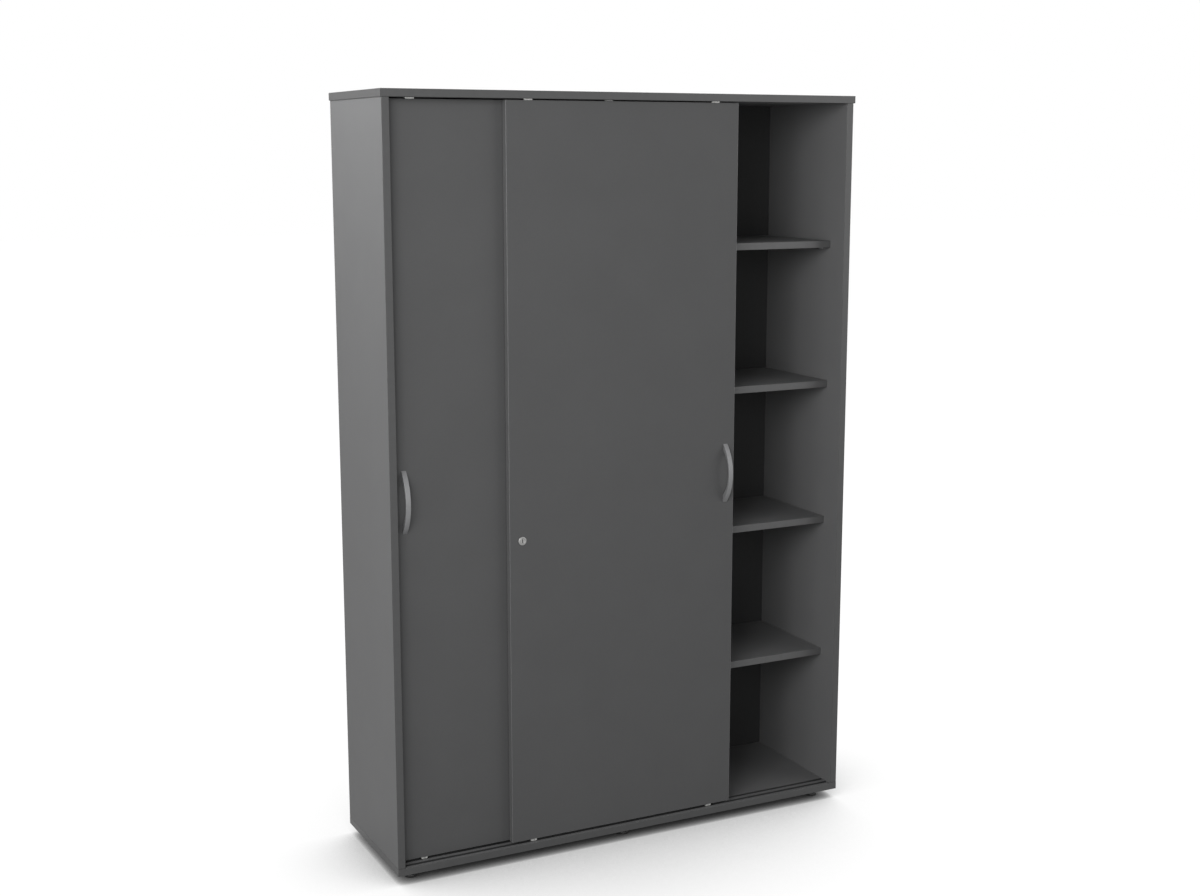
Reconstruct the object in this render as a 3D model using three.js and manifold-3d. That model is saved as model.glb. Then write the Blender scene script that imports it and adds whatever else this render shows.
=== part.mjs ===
// Sliding door cabinet: a tall board carcass with ten compartments behind two doors that pass each other.
// Millimetres, +Z up, X along the width, the front faces -Y, Z = 0 on the floor.
// The rear door is closed at the left. The front door stands part way open, clear of the right bay.

import * as THREE from 'three';
import { mergeVertices } from 'three/addons/utils/BufferGeometryUtils.js';
import Module from 'manifold-3d';

const wasm = await Module();
wasm.setup();

// Carcass sizes
const cabinetWidth = 1250;
const carcassHeight = 1835;
const cabinetDepth = 363;
const boardThickness = 18;
const topOverhang = 3;
const boardEdgeRadius = 1;
const backSheetThickness = 3;
const backSheetRecess = 0.3;
const backRebateWidth = 8;
const backSheetPlay = 0.5;

// Shelf sizes
const shelfRows = 4;
const shelfThickness = 18;
const shelfSetback = 60.5;
const shelfEndGap = 1.2;
const shelfRearGap = 1.5;
const supportReach = 9;
const supportWidth = 8;
const supportHeight = 6;
const supportInset = 37;

// Levelling feet
const footGap = 25;
const footPadRadius = 15;
const footPadHeight = 8;
const footPadEdge = 1.5;
const footNeckRadius = 7;
const footNeckHeight = 3;
const footSpindleRadius = 4;
const footTravel = 8;
const footThreadGrip = 5;
const footSpindleDepth = footTravel + footThreadGrip;
const footInset = 48;

// Door tracks let into the bottom and top boards
const frontTrackInset = 16;
const trackPitch = 21.5;
const trackWidth = 10.6;
const trackWall = 1;
const trackFloor = 1.2;
const bottomTrackHeight = 5.5;
const topTrackHeight = 8.7;
const trackEndGap = 0.6;
const trackLipChamfer = 0.4;

// Doors
const doorThickness = 18;
const doorOverlap = 24;
const doorEndGap = 1;
const doorFloorGap = 7;
const doorTopGap = 3;
const doorEdgeRadius = 1.5;
const frontDoorOpening = 314;
const runnerInset = 60;

// Roller units in the bottom edge of each door
const rollerRadius = 8;
const rollerWidth = 5;
const rollerRimThickness = 1.6;
const rollerWebRecess = 0.8;
const rollerCrown = 0.4;
const rollerCrownWidth = 0.8;
const rollerHubRadius = 3.4;
const rollerHubProud = 0.3;
const axleRadius = 1.5;
const axleLength = 9.4;
const rollerBodyLength = 24;
const rollerBodyWidth = 10;
const rollerBodyHeight = 22;
const rollerNoseLength = 15;
const rollerNoseSkin = 1.4;
const rollerNoseCorner = 2;
const rollerSlotPlay = 0.5;

// Sprung guides in the top edge of each door
const guideBodyLength = 28;
const guideBodyWidth = 10.4;
const guideFloor = 2;
const tongueLength = 20;
const tongueWidth = 6;
const tongueGrip = 5.5;
const tongueChamfer = 2.5;
const tongueTravel = 8;
const tongueShoulderDepth = 7;
const tongueFootHeight = 3;
const tongueFootReach = 1.2;
const springRadius = 2.2;
const springWireRadius = 0.4;
const springTurns = 5;
const springSpareLength = 4;
const springSolidLength = springTurns * springWireRadius * 2;
const springLength = tongueTravel + springSolidLength + springSpareLength;

// Bow handles
const handleLength = 150;
const handleCentres = 128;
const handleWidth = 12;
const handleProjection = 30;
const handleMiddleThickness = 4.5;
const handleFootLength = 19;
const handleBevel = 0.8;
const handleInset = 25;
const handleHeight = 925;
const screwRadius = 2;
const screwGrip = 4.5;
const screwHeadRadius = 4;
const screwHeadHeight = 2.4;
const screwHeadChamfer = 0.8;
const screwHeadSink = 3;
const screwDriveRadius = 1.6;
const screwDriveDepth = 1.4;

// Cylinder lock in the front door
const lockInset = 33;
const lockHeight = 808;
const rosetteRadius = 10.2;
const rosetteHeight = 2;
const rosetteBevel = 0.9;
const lockBarrelRadius = 9;
const lockCoreRadius = 6.8;
const lockCoreLength = 9.5;
const lockCoreSink = 0.4;
const keySlotLength = 9;
const keySlotWidth = 2;
const keySlotDepth = 6;
const lockBoltRadius = 4.6;
const lockBoltChamfer = 0.8;
const lockBoltRecess = 0.4;

// Clearance between fitted pieces, and the overrun of cuts past a face
const fitGap = 0.3;
const overrun = 1;
const weldTolerance = 1e-4;

// Facet counts
const cornerFacets = 1;
const bellyFacets = 3;
const arcFacets = 9;
const handleBevelFacets = 2;
const smallRoundFacets = 14;
const wheelFacets = 22;
const rosetteFacets = 30;
const springSteps = 8;
const springSides = 3;

// Heights and planes that several pieces share
const bottomBoardLow = footGap;
const bottomBoardTop = bottomBoardLow + boardThickness;
const carcassTop = footGap + carcassHeight;
const topBoardLow = carcassTop - boardThickness;
const clearHeight = topBoardLow - bottomBoardTop;
const frontPlane = -cabinetDepth / 2;
const rearPlane = cabinetDepth / 2;
const outerHalf = cabinetWidth / 2;
const innerHalf = outerHalf - boardThickness;
const backSheetRear = rearPlane - backSheetRecess;
const backSheetFront = backSheetRear - backSheetThickness;
const backHalf = innerHalf + backRebateWidth - backSheetPlay;
const shelfFront = frontPlane + shelfSetback;
const compartmentHeight = (clearHeight - shelfRows * shelfThickness) / (shelfRows + 1);
const shelfPitch = compartmentHeight + shelfThickness;
const frontTrackY = frontPlane + frontTrackInset;
const rearTrackY = frontTrackY + trackPitch;
const doorWidth = innerHalf - doorEndGap + doorOverlap / 2;
const doorLow = bottomBoardTop + doorFloorGap;
const doorHigh = topBoardLow - doorTopGap;
const doorHeight = doorHigh - doorLow;
const rearDoorX = -innerHalf + doorEndGap + doorWidth / 2;
const frontDoorX = innerHalf - doorEndGap - doorWidth / 2 - frontDoorOpening;
const rollerAxleZ = bottomBoardTop - bottomTrackHeight + trackFloor + fitGap + rollerRadius;
const runnerOffset = doorWidth / 2 - runnerInset;
const handleOffset = doorWidth / 2 - handleInset;
const lockOffset = doorWidth / 2 - lockInset;
const frontReach = frontTrackY - doorThickness / 2 - handleProjection;

// Finishes seen on the real cabinet
const boardFinish = { color: 0x515152, roughness: 0.62, metalness: 0 };
const backFinish = { color: 0x3c3c3d, roughness: 0.8, metalness: 0 };
const trackFinish = { color: 0x262627, roughness: 0.5, metalness: 0 };
const nylonFinish = { color: 0xc9c9c6, roughness: 0.45, metalness: 0 };
const steelFinish = { color: 0xa8a9ab, roughness: 0.35, metalness: 1 };
const handleFinish = { color: 0x9a9b9d, roughness: 0.38, metalness: 1 };
const lockFinish = { color: 0xb6b7b9, roughness: 0.28, metalness: 1 };
const footFinish = { color: 0x1d1d1e, roughness: 0.6, metalness: 0 };

const cabinet = new THREE.Group();

// Makes a closed solid of a geometry so that it can be cut and joined.
function toSolid(geometry) {
  const bare = geometry.clone();
  bare.deleteAttribute('normal');
  bare.deleteAttribute('uv');
  const welded = mergeVertices(bare, weldTolerance);
  const corners = welded.index.array;
  const kept = [];
  for (let start = 0; start < corners.length; start += 3) {
    const [a, b, c] = corners.slice(start, start + 3);
    if (a !== b && b !== c && c !== a) {
      kept.push(a, b, c);
    }
  }
  return new wasm.Manifold(new wasm.Mesh({
    numProp: 3,
    vertProperties: new Float32Array(welded.attributes.position.array),
    triVerts: new Uint32Array(kept),
  }));
}

// Turns a solid back into a geometry.
function toGeometry(solid) {
  const mesh = solid.getMesh();
  const geometry = new THREE.BufferGeometry();
  geometry.setAttribute('position', new THREE.BufferAttribute(new Float32Array(mesh.vertProperties), 3));
  geometry.setIndex(new THREE.BufferAttribute(new Uint32Array(mesh.triVerts), 1));
  geometry.computeVertexNormals();
  return geometry;
}

// Cuts a list of geometries out of a base, after joining others to it.
function shaped(base, joined, cuts) {
  let solid = toSolid(base);
  for (const geometry of joined) {
    solid = solid.add(toSolid(geometry));
  }
  for (const geometry of cuts) {
    solid = solid.subtract(toSolid(geometry));
  }
  return toGeometry(solid);
}

// Adds a named piece to a group.
function addPiece(group, name, geometry, finish, position) {
  const mesh = new THREE.Mesh(geometry, new THREE.MeshStandardMaterial({ ...finish, flatShading: true }));
  mesh.name = name;
  mesh.position.set(...position);
  group.add(mesh);
}

// A box between two corners.
function boxBetween(low, high) {
  const size = high.map((value, axis) => value - low[axis]);
  const middle = high.map((value, axis) => (value + low[axis]) / 2);
  return new THREE.BoxGeometry(...size).translate(...middle);
}

// A rectangle centred on the origin with round corners.
function roundedRectangle(width, height, radius) {
  const x = width / 2 - radius;
  const y = height / 2 - radius;
  const shape = new THREE.Shape();
  shape.absarc(x, y, radius, 0, Math.PI / 2);
  shape.absarc(-x, y, radius, Math.PI / 2, Math.PI);
  shape.absarc(-x, -y, radius, Math.PI, Math.PI * 3 / 2);
  shape.absarc(x, -y, radius, Math.PI * 3 / 2, Math.PI * 2);
  shape.closePath();
  return shape;
}

// Extrudes a shape drawn in X and Y upwards.
function extrudeUp(shape, height, facets) {
  return new THREE.ExtrudeGeometry(shape, { depth: height, bevelEnabled: false, curveSegments: facets });
}

// Extrudes a shape drawn in Y and Z along X, centred on X = 0.
function extrudeAlongX(shape, length, facets) {
  const turn = new THREE.Matrix4().makeBasis(
    new THREE.Vector3(0, 1, 0),
    new THREE.Vector3(0, 0, 1),
    new THREE.Vector3(1, 0, 0),
  );
  return extrudeUp(shape, length, facets).translate(0, 0, -length / 2).applyMatrix4(turn);
}

// Extrudes a shape drawn in X and Z along Y, centred on Y = 0.
function extrudeAlongY(shape, length, facets) {
  const turn = new THREE.Matrix4().makeBasis(
    new THREE.Vector3(1, 0, 0),
    new THREE.Vector3(0, 0, 1),
    new THREE.Vector3(0, -1, 0),
  );
  return extrudeUp(shape, length, facets).translate(0, 0, -length / 2).applyMatrix4(turn);
}

// Turns a profile of [radius, height] points about Y.
function turnedAlongY(points, facets) {
  return new THREE.LatheGeometry(points.map(([radius, y]) => new THREE.Vector2(radius, y)), facets);
}

// Turns a profile of [radius, height] points about Z.
function turnedAlongZ(points, facets) {
  return turnedAlongY(points, facets).rotateX(Math.PI / 2);
}

// A plain round pin along Y between two planes, for pins and for bores.
function pinAlongY(radius, low, high, facets) {
  return turnedAlongY([[0, low], [radius, low], [radius, high], [0, high]], facets);
}

// Shelf heights, lowest first, as the height of each shelf's underside.
function shelfUndersides() {
  return Array.from({ length: shelfRows }, (_, row) => bottomBoardTop + compartmentHeight + row * shelfPitch);
}

// One shelf support: a stub with a flat top and a round belly, reaching out of a board towards +X.
function shelfSupport() {
  const outline = new THREE.Shape();
  const belly = supportWidth / 2;
  outline.moveTo(-belly, 0);
  outline.lineTo(-belly, belly - supportHeight);
  outline.absarc(0, belly - supportHeight, belly, Math.PI, Math.PI * 2);
  outline.lineTo(belly, 0);
  outline.closePath();
  const rooted = supportReach + overrun;
  return extrudeAlongX(outline, rooted, bellyFacets).translate(rooted / 2 - overrun, 0, 0);
}

// The supports that stand out of one face of an upright board.
function supportsOnFace(faceX, direction) {
  const shelfRear = backSheetFront - shelfRearGap;
  const places = [shelfFront + supportInset, shelfRear - supportInset];
  const supports = [];
  for (const underside of shelfUndersides()) {
    for (const y of places) {
      const support = shelfSupport();
      if (direction < 0) {
        support.rotateZ(Math.PI);
      }
      supports.push(support.translate(faceX, y, underside));
    }
  }
  return supports;
}

// A side panel with the rebate for the back sheet and its shelf supports.
// Side is -1 at the left and 1 at the right.
function sidePanel(side) {
  const outline = roundedRectangle(boardThickness, cabinetDepth, boardEdgeRadius);
  const middle = side * (outerHalf - boardThickness / 2);
  const board = extrudeUp(outline, clearHeight, cornerFacets).translate(middle, 0, bottomBoardTop);
  const rebateOuter = side * (innerHalf + backRebateWidth);
  const rebateInner = side * (innerHalf - overrun);
  const rebate = boxBetween(
    [Math.min(rebateOuter, rebateInner), backSheetFront, bottomBoardTop - overrun],
    [Math.max(rebateOuter, rebateInner), rearPlane + overrun, topBoardLow + overrun],
  );
  return shaped(board, supportsOnFace(side * innerHalf, -side), [rebate]);
}

// A board that lies flat, with rounded front and rear edges.
function flatBoard(halfWidth, front, rear, low, high) {
  const outline = roundedRectangle(rear - front, high - low, boardEdgeRadius);
  const board = extrudeAlongX(outline, halfWidth * 2, cornerFacets);
  return board.translate(0, (front + rear) / 2, (low + high) / 2);
}

// The cut for one track, open at the board's inner face.
function trackGroove(y, low, high) {
  const half = trackWidth / 2 + fitGap;
  return boxBetween([-innerHalf, y - half, low], [innerHalf, y + half, high]);
}

// The rebate for the back sheet in the bottom or top board, from the board's inner face inwards.
function flatRebate(low, high) {
  const half = innerHalf + backRebateWidth;
  return boxBetween([-half, backSheetFront, low], [half, rearPlane + overrun, high]);
}

// The bottom board, with two grooves for the tracks and blind holes for the feet.
function bottomPanel() {
  const board = flatBoard(outerHalf, frontPlane, rearPlane, bottomBoardLow, bottomBoardTop);
  const cuts = [
    trackGroove(frontTrackY, bottomBoardTop - bottomTrackHeight, bottomBoardTop + overrun),
    trackGroove(rearTrackY, bottomBoardTop - bottomTrackHeight, bottomBoardTop + overrun),
    flatRebate(bottomBoardTop - backRebateWidth, bottomBoardTop + overrun),
  ];
  for (const [x, y] of footPlaces()) {
    const radius = footSpindleRadius + fitGap;
    const depth = footSpindleDepth + fitGap;
    const hole = [[0, -overrun], [radius, -overrun], [radius, depth], [0, depth]];
    cuts.push(turnedAlongZ(hole, smallRoundFacets).translate(x, y, bottomBoardLow));
  }
  return shaped(board, [], cuts);
}

// The top board, which stands proud of the sides and of the front.
function topPanel() {
  const half = outerHalf + topOverhang;
  const board = flatBoard(half, frontPlane - topOverhang, rearPlane, topBoardLow, carcassTop);
  return shaped(board, [], [
    trackGroove(frontTrackY, topBoardLow - overrun, topBoardLow + topTrackHeight),
    trackGroove(rearTrackY, topBoardLow - overrun, topBoardLow + topTrackHeight),
    flatRebate(topBoardLow - overrun, topBoardLow + backRebateWidth),
  ]);
}

// The upright between the two bays, level with the shelf fronts.
function centrePartition() {
  const depth = backSheetFront - fitGap - shelfFront;
  const outline = roundedRectangle(boardThickness, depth, boardEdgeRadius);
  const middle = shelfFront + depth / 2;
  const board = extrudeUp(outline, clearHeight, cornerFacets).translate(0, middle, bottomBoardTop);
  const supports = [...supportsOnFace(boardThickness / 2, 1), ...supportsOnFace(-boardThickness / 2, -1)];
  return shaped(board, supports, []);
}

// The thin sheet that closes the back, seated in the rebates.
function backSheet() {
  const reach = backRebateWidth - backSheetPlay;
  return boxBetween(
    [-backHalf, backSheetFront, bottomBoardTop - reach],
    [backHalf, backSheetRear, topBoardLow + reach],
  );
}

// A U-shaped track on its back, open upwards, with its floor on Z = 0.
function trackProfile(height) {
  const half = trackWidth / 2;
  const channel = half - trackWall;
  const outline = new THREE.Shape();
  outline.moveTo(-half, 0);
  outline.lineTo(half, 0);
  outline.lineTo(half, height);
  outline.lineTo(channel + trackLipChamfer, height);
  outline.lineTo(channel, height - trackLipChamfer);
  outline.lineTo(channel, trackFloor);
  outline.lineTo(-channel, trackFloor);
  outline.lineTo(-channel, height - trackLipChamfer);
  outline.lineTo(-channel - trackLipChamfer, height);
  outline.lineTo(-half, height);
  outline.closePath();
  return extrudeAlongX(outline, (innerHalf - trackEndGap) * 2, cornerFacets);
}

// The places of the levelling feet, two rows of three.
function footPlaces() {
  const columns = [-outerHalf + footInset, 0, outerHalf - footInset];
  const rows = [frontPlane + footInset, rearPlane - footInset];
  return rows.flatMap((y) => columns.map((x) => [x, y]));
}

// A levelling foot: a round pad with a neck, on a spindle that screws into the bottom board.
function levellingFoot() {
  return turnedAlongZ([
    [0, 0],
    [footPadRadius - footPadEdge, 0],
    [footPadRadius, footPadEdge],
    [footPadRadius, footPadHeight - footPadEdge],
    [footPadRadius - footPadEdge, footPadHeight],
    [footNeckRadius, footPadHeight],
    [footSpindleRadius, footPadHeight + footNeckHeight],
    [footSpindleRadius, footGap + footSpindleDepth],
    [0, footGap + footSpindleDepth],
  ], smallRoundFacets);
}

// A door panel about the middle of its own width and thickness, with its mortises and screw holes.
// The handle side is -1 where the handle is near the left edge and 1 where it is near the right.
function doorPanel(handleSide, hasLock) {
  const outline = roundedRectangle(doorWidth, doorThickness, doorEdgeRadius);
  const board = extrudeUp(outline, doorHeight, cornerFacets).translate(0, 0, doorLow);
  const cuts = [];
  for (const side of [-1, 1]) {
    const x = side * runnerOffset;
    const rollerHalf = rollerBodyLength / 2 + fitGap;
    const rollerSide = rollerBodyWidth / 2 + fitGap;
    cuts.push(boxBetween(
      [x - rollerHalf, -rollerSide, doorLow - overrun],
      [x + rollerHalf, rollerSide, doorLow + rollerBodyHeight],
    ));
    const guideHalf = guideBodyLength / 2 + fitGap;
    const guideSide = guideBodyWidth / 2 + fitGap;
    cuts.push(boxBetween(
      [x - guideHalf, -guideSide, doorHigh - guideBodyHeight()],
      [x + guideHalf, guideSide, doorHigh + overrun],
    ));
  }
  const past = doorThickness / 2 + overrun;
  for (const end of [-1, 1]) {
    const z = handleHeight + end * handleCentres / 2;
    const x = handleSide * handleOffset;
    const bore = pinAlongY(screwRadius + fitGap, -past, past, smallRoundFacets);
    const sinkLow = doorThickness / 2 - screwHeadSink;
    const sink = pinAlongY(screwHeadRadius + fitGap, sinkLow, past, smallRoundFacets);
    cuts.push(bore.translate(x, 0, z), sink.translate(x, 0, z));
  }
  if (hasLock) {
    const bore = pinAlongY(lockBarrelRadius + fitGap, -past, past, rosetteFacets);
    cuts.push(bore.translate(-handleSide * lockOffset, 0, lockHeight));
  }
  return shaped(board, [], cuts);
}

// The housing of a roller: a block in the door with a nose below it, slotted for the wheel.
function rollerHousing() {
  const noseLow = rollerAxleZ - axleRadius - rollerNoseSkin;
  const high = doorLow + rollerBodyHeight;
  const bodyHalf = rollerBodyLength / 2;
  const noseHalf = rollerNoseLength / 2;
  const corner = rollerNoseCorner;
  const outline = new THREE.Shape();
  outline.moveTo(-bodyHalf, high);
  outline.lineTo(-bodyHalf, doorLow);
  outline.lineTo(-noseHalf, doorLow);
  outline.lineTo(-noseHalf, noseLow + corner);
  outline.absarc(-noseHalf + corner, noseLow + corner, corner, Math.PI, Math.PI * 3 / 2);
  outline.absarc(noseHalf - corner, noseLow + corner, corner, Math.PI * 3 / 2, Math.PI * 2);
  outline.lineTo(noseHalf, doorLow);
  outline.lineTo(bodyHalf, doorLow);
  outline.lineTo(bodyHalf, high);
  outline.closePath();
  const block = extrudeAlongY(outline, rollerBodyWidth, cornerFacets);
  const slotRadius = rollerRadius + rollerSlotPlay;
  const slotHalf = rollerWidth / 2 + rollerHubProud + fitGap;
  const wheelRoom = pinAlongY(slotRadius, -slotHalf, slotHalf, wheelFacets).translate(0, 0, rollerAxleZ);
  const past = rollerBodyWidth / 2 + overrun;
  const axleBore = pinAlongY(axleRadius + fitGap, -past, past, smallRoundFacets);
  return shaped(block, [], [wheelRoom, axleBore.translate(0, 0, rollerAxleZ)]);
}

// A wheel with a crowned tread, a recessed web and a hub that stands a little proud.
function rollerWheel() {
  const half = rollerWidth / 2;
  const hubHalf = half + rollerHubProud;
  const bore = axleRadius + fitGap;
  const webHalf = half - rollerWebRecess;
  const treadHalf = half - rollerCrownWidth;
  const rimInner = rollerRadius - rollerRimThickness;
  return turnedAlongY([
    [bore, -hubHalf],
    [rollerHubRadius, -hubHalf],
    [rollerHubRadius, -webHalf],
    [rimInner, -webHalf],
    [rimInner, -half],
    [rollerRadius - rollerCrown, -half],
    [rollerRadius, -treadHalf],
    [rollerRadius, treadHalf],
    [rollerRadius - rollerCrown, half],
    [rimInner, half],
    [rimInner, webHalf],
    [rollerHubRadius, webHalf],
    [rollerHubRadius, hubHalf],
    [bore, hubHalf],
    [bore, -hubHalf],
  ], wheelFacets);
}

// The height of a guide's housing: its shoulder, the tongue's foot, the spring and the floor.
function guideBodyHeight() {
  return tongueShoulderDepth + fitGap + tongueFootHeight + fitGap * 2 + springLength + guideFloor;
}

// The housing of a guide: a block with a slot for the tongue and a wider room for its foot.
function guideHousing() {
  const high = doorHigh;
  const low = high - guideBodyHeight();
  const half = guideBodyLength / 2;
  const side = guideBodyWidth / 2;
  const slotHalf = tongueLength / 2 + fitGap;
  const slotSide = tongueWidth / 2 + fitGap;
  const roomHalf = slotHalf + tongueFootReach;
  const block = boxBetween([-half, -side, low], [half, side, high]);
  const shoulder = high - tongueShoulderDepth;
  const slot = boxBetween([-slotHalf, -slotSide, shoulder - overrun], [slotHalf, slotSide, high + overrun]);
  const room = boxBetween([-roomHalf, -slotSide, low + guideFloor], [roomHalf, slotSide, shoulder]);
  return shaped(block, [], [slot, room]);
}

// The tongue of a guide, with chamfered leading corners and a foot that stops it under the slot.
function guideTongue() {
  const tip = doorHigh + doorTopGap + tongueGrip;
  const shoulder = doorHigh - tongueShoulderDepth - fitGap;
  const foot = shoulder - tongueFootHeight;
  const half = tongueLength / 2;
  const footHalf = half + tongueFootReach;
  const outline = new THREE.Shape();
  outline.moveTo(-footHalf, foot);
  outline.lineTo(footHalf, foot);
  outline.lineTo(footHalf, shoulder);
  outline.lineTo(half, shoulder);
  outline.lineTo(half, tip - tongueChamfer);
  outline.lineTo(half - tongueChamfer, tip);
  outline.lineTo(tongueChamfer - half, tip);
  outline.lineTo(-half, tip - tongueChamfer);
  outline.lineTo(-half, shoulder);
  outline.lineTo(-footHalf, shoulder);
  outline.closePath();
  return extrudeAlongY(outline, tongueWidth, cornerFacets);
}

// A helix from the housing's floor to the tongue's foot.
class SpringLine extends THREE.Curve {
  getPoint(share, target = new THREE.Vector3()) {
    const angle = share * springTurns * Math.PI * 2;
    const rise = share * (springLength - springWireRadius * 2) + springWireRadius;
    const radius = springRadius - springWireRadius;
    return target.set(radius * Math.cos(angle), radius * Math.sin(angle), rise);
  }
}

// The coil spring under a tongue, standing on Z = 0.
function guideSpring() {
  const section = new THREE.Shape();
  section.absarc(0, 0, springWireRadius, 0, Math.PI * 2);
  return new THREE.ExtrudeGeometry(section, {
    steps: springTurns * springSteps,
    curveSegments: springSides,
    extrudePath: new SpringLine(),
  });
}

// A bow handle: two arcs that meet the door in solid feet, drawn in Y and Z with the door face on Y = 0.
function bowHandle() {
  const outerHalfSpan = handleLength / 2;
  const innerHalfSpan = outerHalfSpan - handleFootLength;
  const innerRise = handleProjection - handleMiddleThickness;
  const outerRadius = (outerHalfSpan ** 2 + handleProjection ** 2) / (2 * handleProjection);
  const innerRadius = (innerHalfSpan ** 2 + innerRise ** 2) / (2 * innerRise);
  const outerAngle = Math.asin(outerHalfSpan / outerRadius);
  const innerAngle = Math.asin(innerHalfSpan / innerRadius);
  const outerCentre = outerRadius - handleProjection;
  const innerCentre = innerRadius - innerRise;
  const outline = new THREE.Shape();
  outline.absarc(outerCentre, 0, outerRadius, Math.PI + outerAngle, Math.PI - outerAngle, true);
  outline.absarc(innerCentre, 0, innerRadius, Math.PI - innerAngle, Math.PI + innerAngle, false);
  outline.closePath();
  const depth = handleWidth - handleBevel * 2;
  const turn = new THREE.Matrix4().makeBasis(
    new THREE.Vector3(0, 1, 0),
    new THREE.Vector3(0, 0, 1),
    new THREE.Vector3(1, 0, 0),
  );
  const strap = new THREE.ExtrudeGeometry(outline, {
    depth,
    curveSegments: arcFacets,
    bevelThickness: handleBevel,
    bevelSize: handleBevel,
    bevelOffset: -handleBevel,
    bevelSegments: handleBevelFacets,
  }).translate(0, 0, -depth / 2).applyMatrix4(turn);
  const holes = [-1, 1].map((end) => {
    const hole = pinAlongY(screwRadius + fitGap, -screwGrip - fitGap, overrun, smallRoundFacets);
    return hole.translate(0, 0, end * handleCentres / 2);
  });
  return shaped(strap, [], holes);
}

// A pan-head screw along Y: the head sits in the door's sunk rear, the shank reaches into the handle's foot.
function handleScrew() {
  const rear = doorThickness / 2;
  const seat = rear - screwHeadSink;
  const tip = -rear - screwGrip;
  const head = seat + screwHeadHeight;
  return turnedAlongY([
    [0, tip],
    [screwRadius, tip],
    [screwRadius, seat],
    [screwHeadRadius, seat],
    [screwHeadRadius, head - screwHeadChamfer],
    [screwHeadRadius - screwHeadChamfer, head],
    [screwDriveRadius, head],
    [screwDriveRadius, head - screwDriveDepth],
    [0, head - screwDriveDepth],
  ], smallRoundFacets);
}

// The lock's barrel and rosette, with a bore for the turning core and a narrower one for the bolt.
function lockBarrel() {
  const front = -doorThickness / 2;
  const face = front - rosetteHeight;
  const rear = doorThickness / 2;
  const coreBore = lockCoreRadius + fitGap;
  const boltBore = lockBoltRadius + fitGap;
  const step = face + lockCoreSink + lockCoreLength + fitGap;
  return turnedAlongY([
    [coreBore, face],
    [rosetteRadius - rosetteBevel, face],
    [rosetteRadius, face + rosetteBevel],
    [rosetteRadius, front],
    [lockBarrelRadius, front],
    [lockBarrelRadius, rear],
    [boltBore, rear],
    [boltBore, step],
    [coreBore, step],
    [coreBore, face],
  ], rosetteFacets);
}

// The lock's core, with its upright key slot.
function lockCore() {
  const face = -doorThickness / 2 - rosetteHeight + lockCoreSink;
  const plug = pinAlongY(lockCoreRadius, face, face + lockCoreLength, rosetteFacets);
  const slot = boxBetween(
    [-keySlotWidth / 2, face - overrun, -keySlotLength / 2],
    [keySlotWidth / 2, face + keySlotDepth, keySlotLength / 2],
  );
  return shaped(plug, [], [slot]);
}

// The lock's round bolt, drawn back inside the door.
function lockBolt() {
  const rear = doorThickness / 2 - lockBoltRecess;
  const front = -doorThickness / 2 - rosetteHeight + lockCoreSink + lockCoreLength + fitGap * 2;
  return turnedAlongY([
    [0, front],
    [lockBoltRadius, front],
    [lockBoltRadius, rear - lockBoltChamfer],
    [lockBoltRadius - lockBoltChamfer, rear],
    [0, rear],
  ], rosetteFacets);
}

// Puts the carcass boards in place.
function addCarcass(group) {
  addPiece(group, 'bottom_panel', bottomPanel(), boardFinish, [0, 0, 0]);
  addPiece(group, 'top_panel', topPanel(), boardFinish, [0, 0, 0]);
  addPiece(group, 'side_panel_left', sidePanel(-1), boardFinish, [0, 0, 0]);
  addPiece(group, 'side_panel_right', sidePanel(1), boardFinish, [0, 0, 0]);
  addPiece(group, 'centre_partition', centrePartition(), boardFinish, [0, 0, 0]);
  addPiece(group, 'back_panel', backSheet(), backFinish, [0, 0, 0]);
}

// Puts the shelves of both bays on their supports.
function addShelves(group) {
  const low = boardThickness / 2 + shelfEndGap;
  const high = innerHalf - shelfEndGap;
  const rear = backSheetFront - shelfRearGap;
  for (const [bay, side] of [['left', -1], ['right', 1]]) {
    shelfUndersides().forEach((underside, row) => {
      const shelf = flatBoard((high - low) / 2, shelfFront, rear, underside, underside + shelfThickness);
      addPiece(group, `shelf_${bay}_${row + 1}`, shelf, boardFinish, [side * (low + high) / 2, 0, 0]);
    });
  }
}

// Presses the four tracks into their grooves.
function addTracks(group) {
  for (const [place, y] of [['front', frontTrackY], ['rear', rearTrackY]]) {
    const bottom = trackProfile(bottomTrackHeight);
    addPiece(group, `bottom_track_${place}`, bottom, trackFinish, [0, y, bottomBoardTop - bottomTrackHeight]);
    const top = trackProfile(topTrackHeight).rotateX(Math.PI);
    addPiece(group, `top_track_${place}`, top, trackFinish, [0, y, topBoardLow + topTrackHeight]);
  }
}

// Screws the levelling feet into the bottom board.
function addFeet(group) {
  const names = ['front_left', 'front_middle', 'front_right', 'rear_left', 'rear_middle', 'rear_right'];
  footPlaces().forEach(([x, y], index) => {
    addPiece(group, `foot_${names[index]}`, levellingFoot(), footFinish, [x, y, 0]);
  });
}

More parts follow.
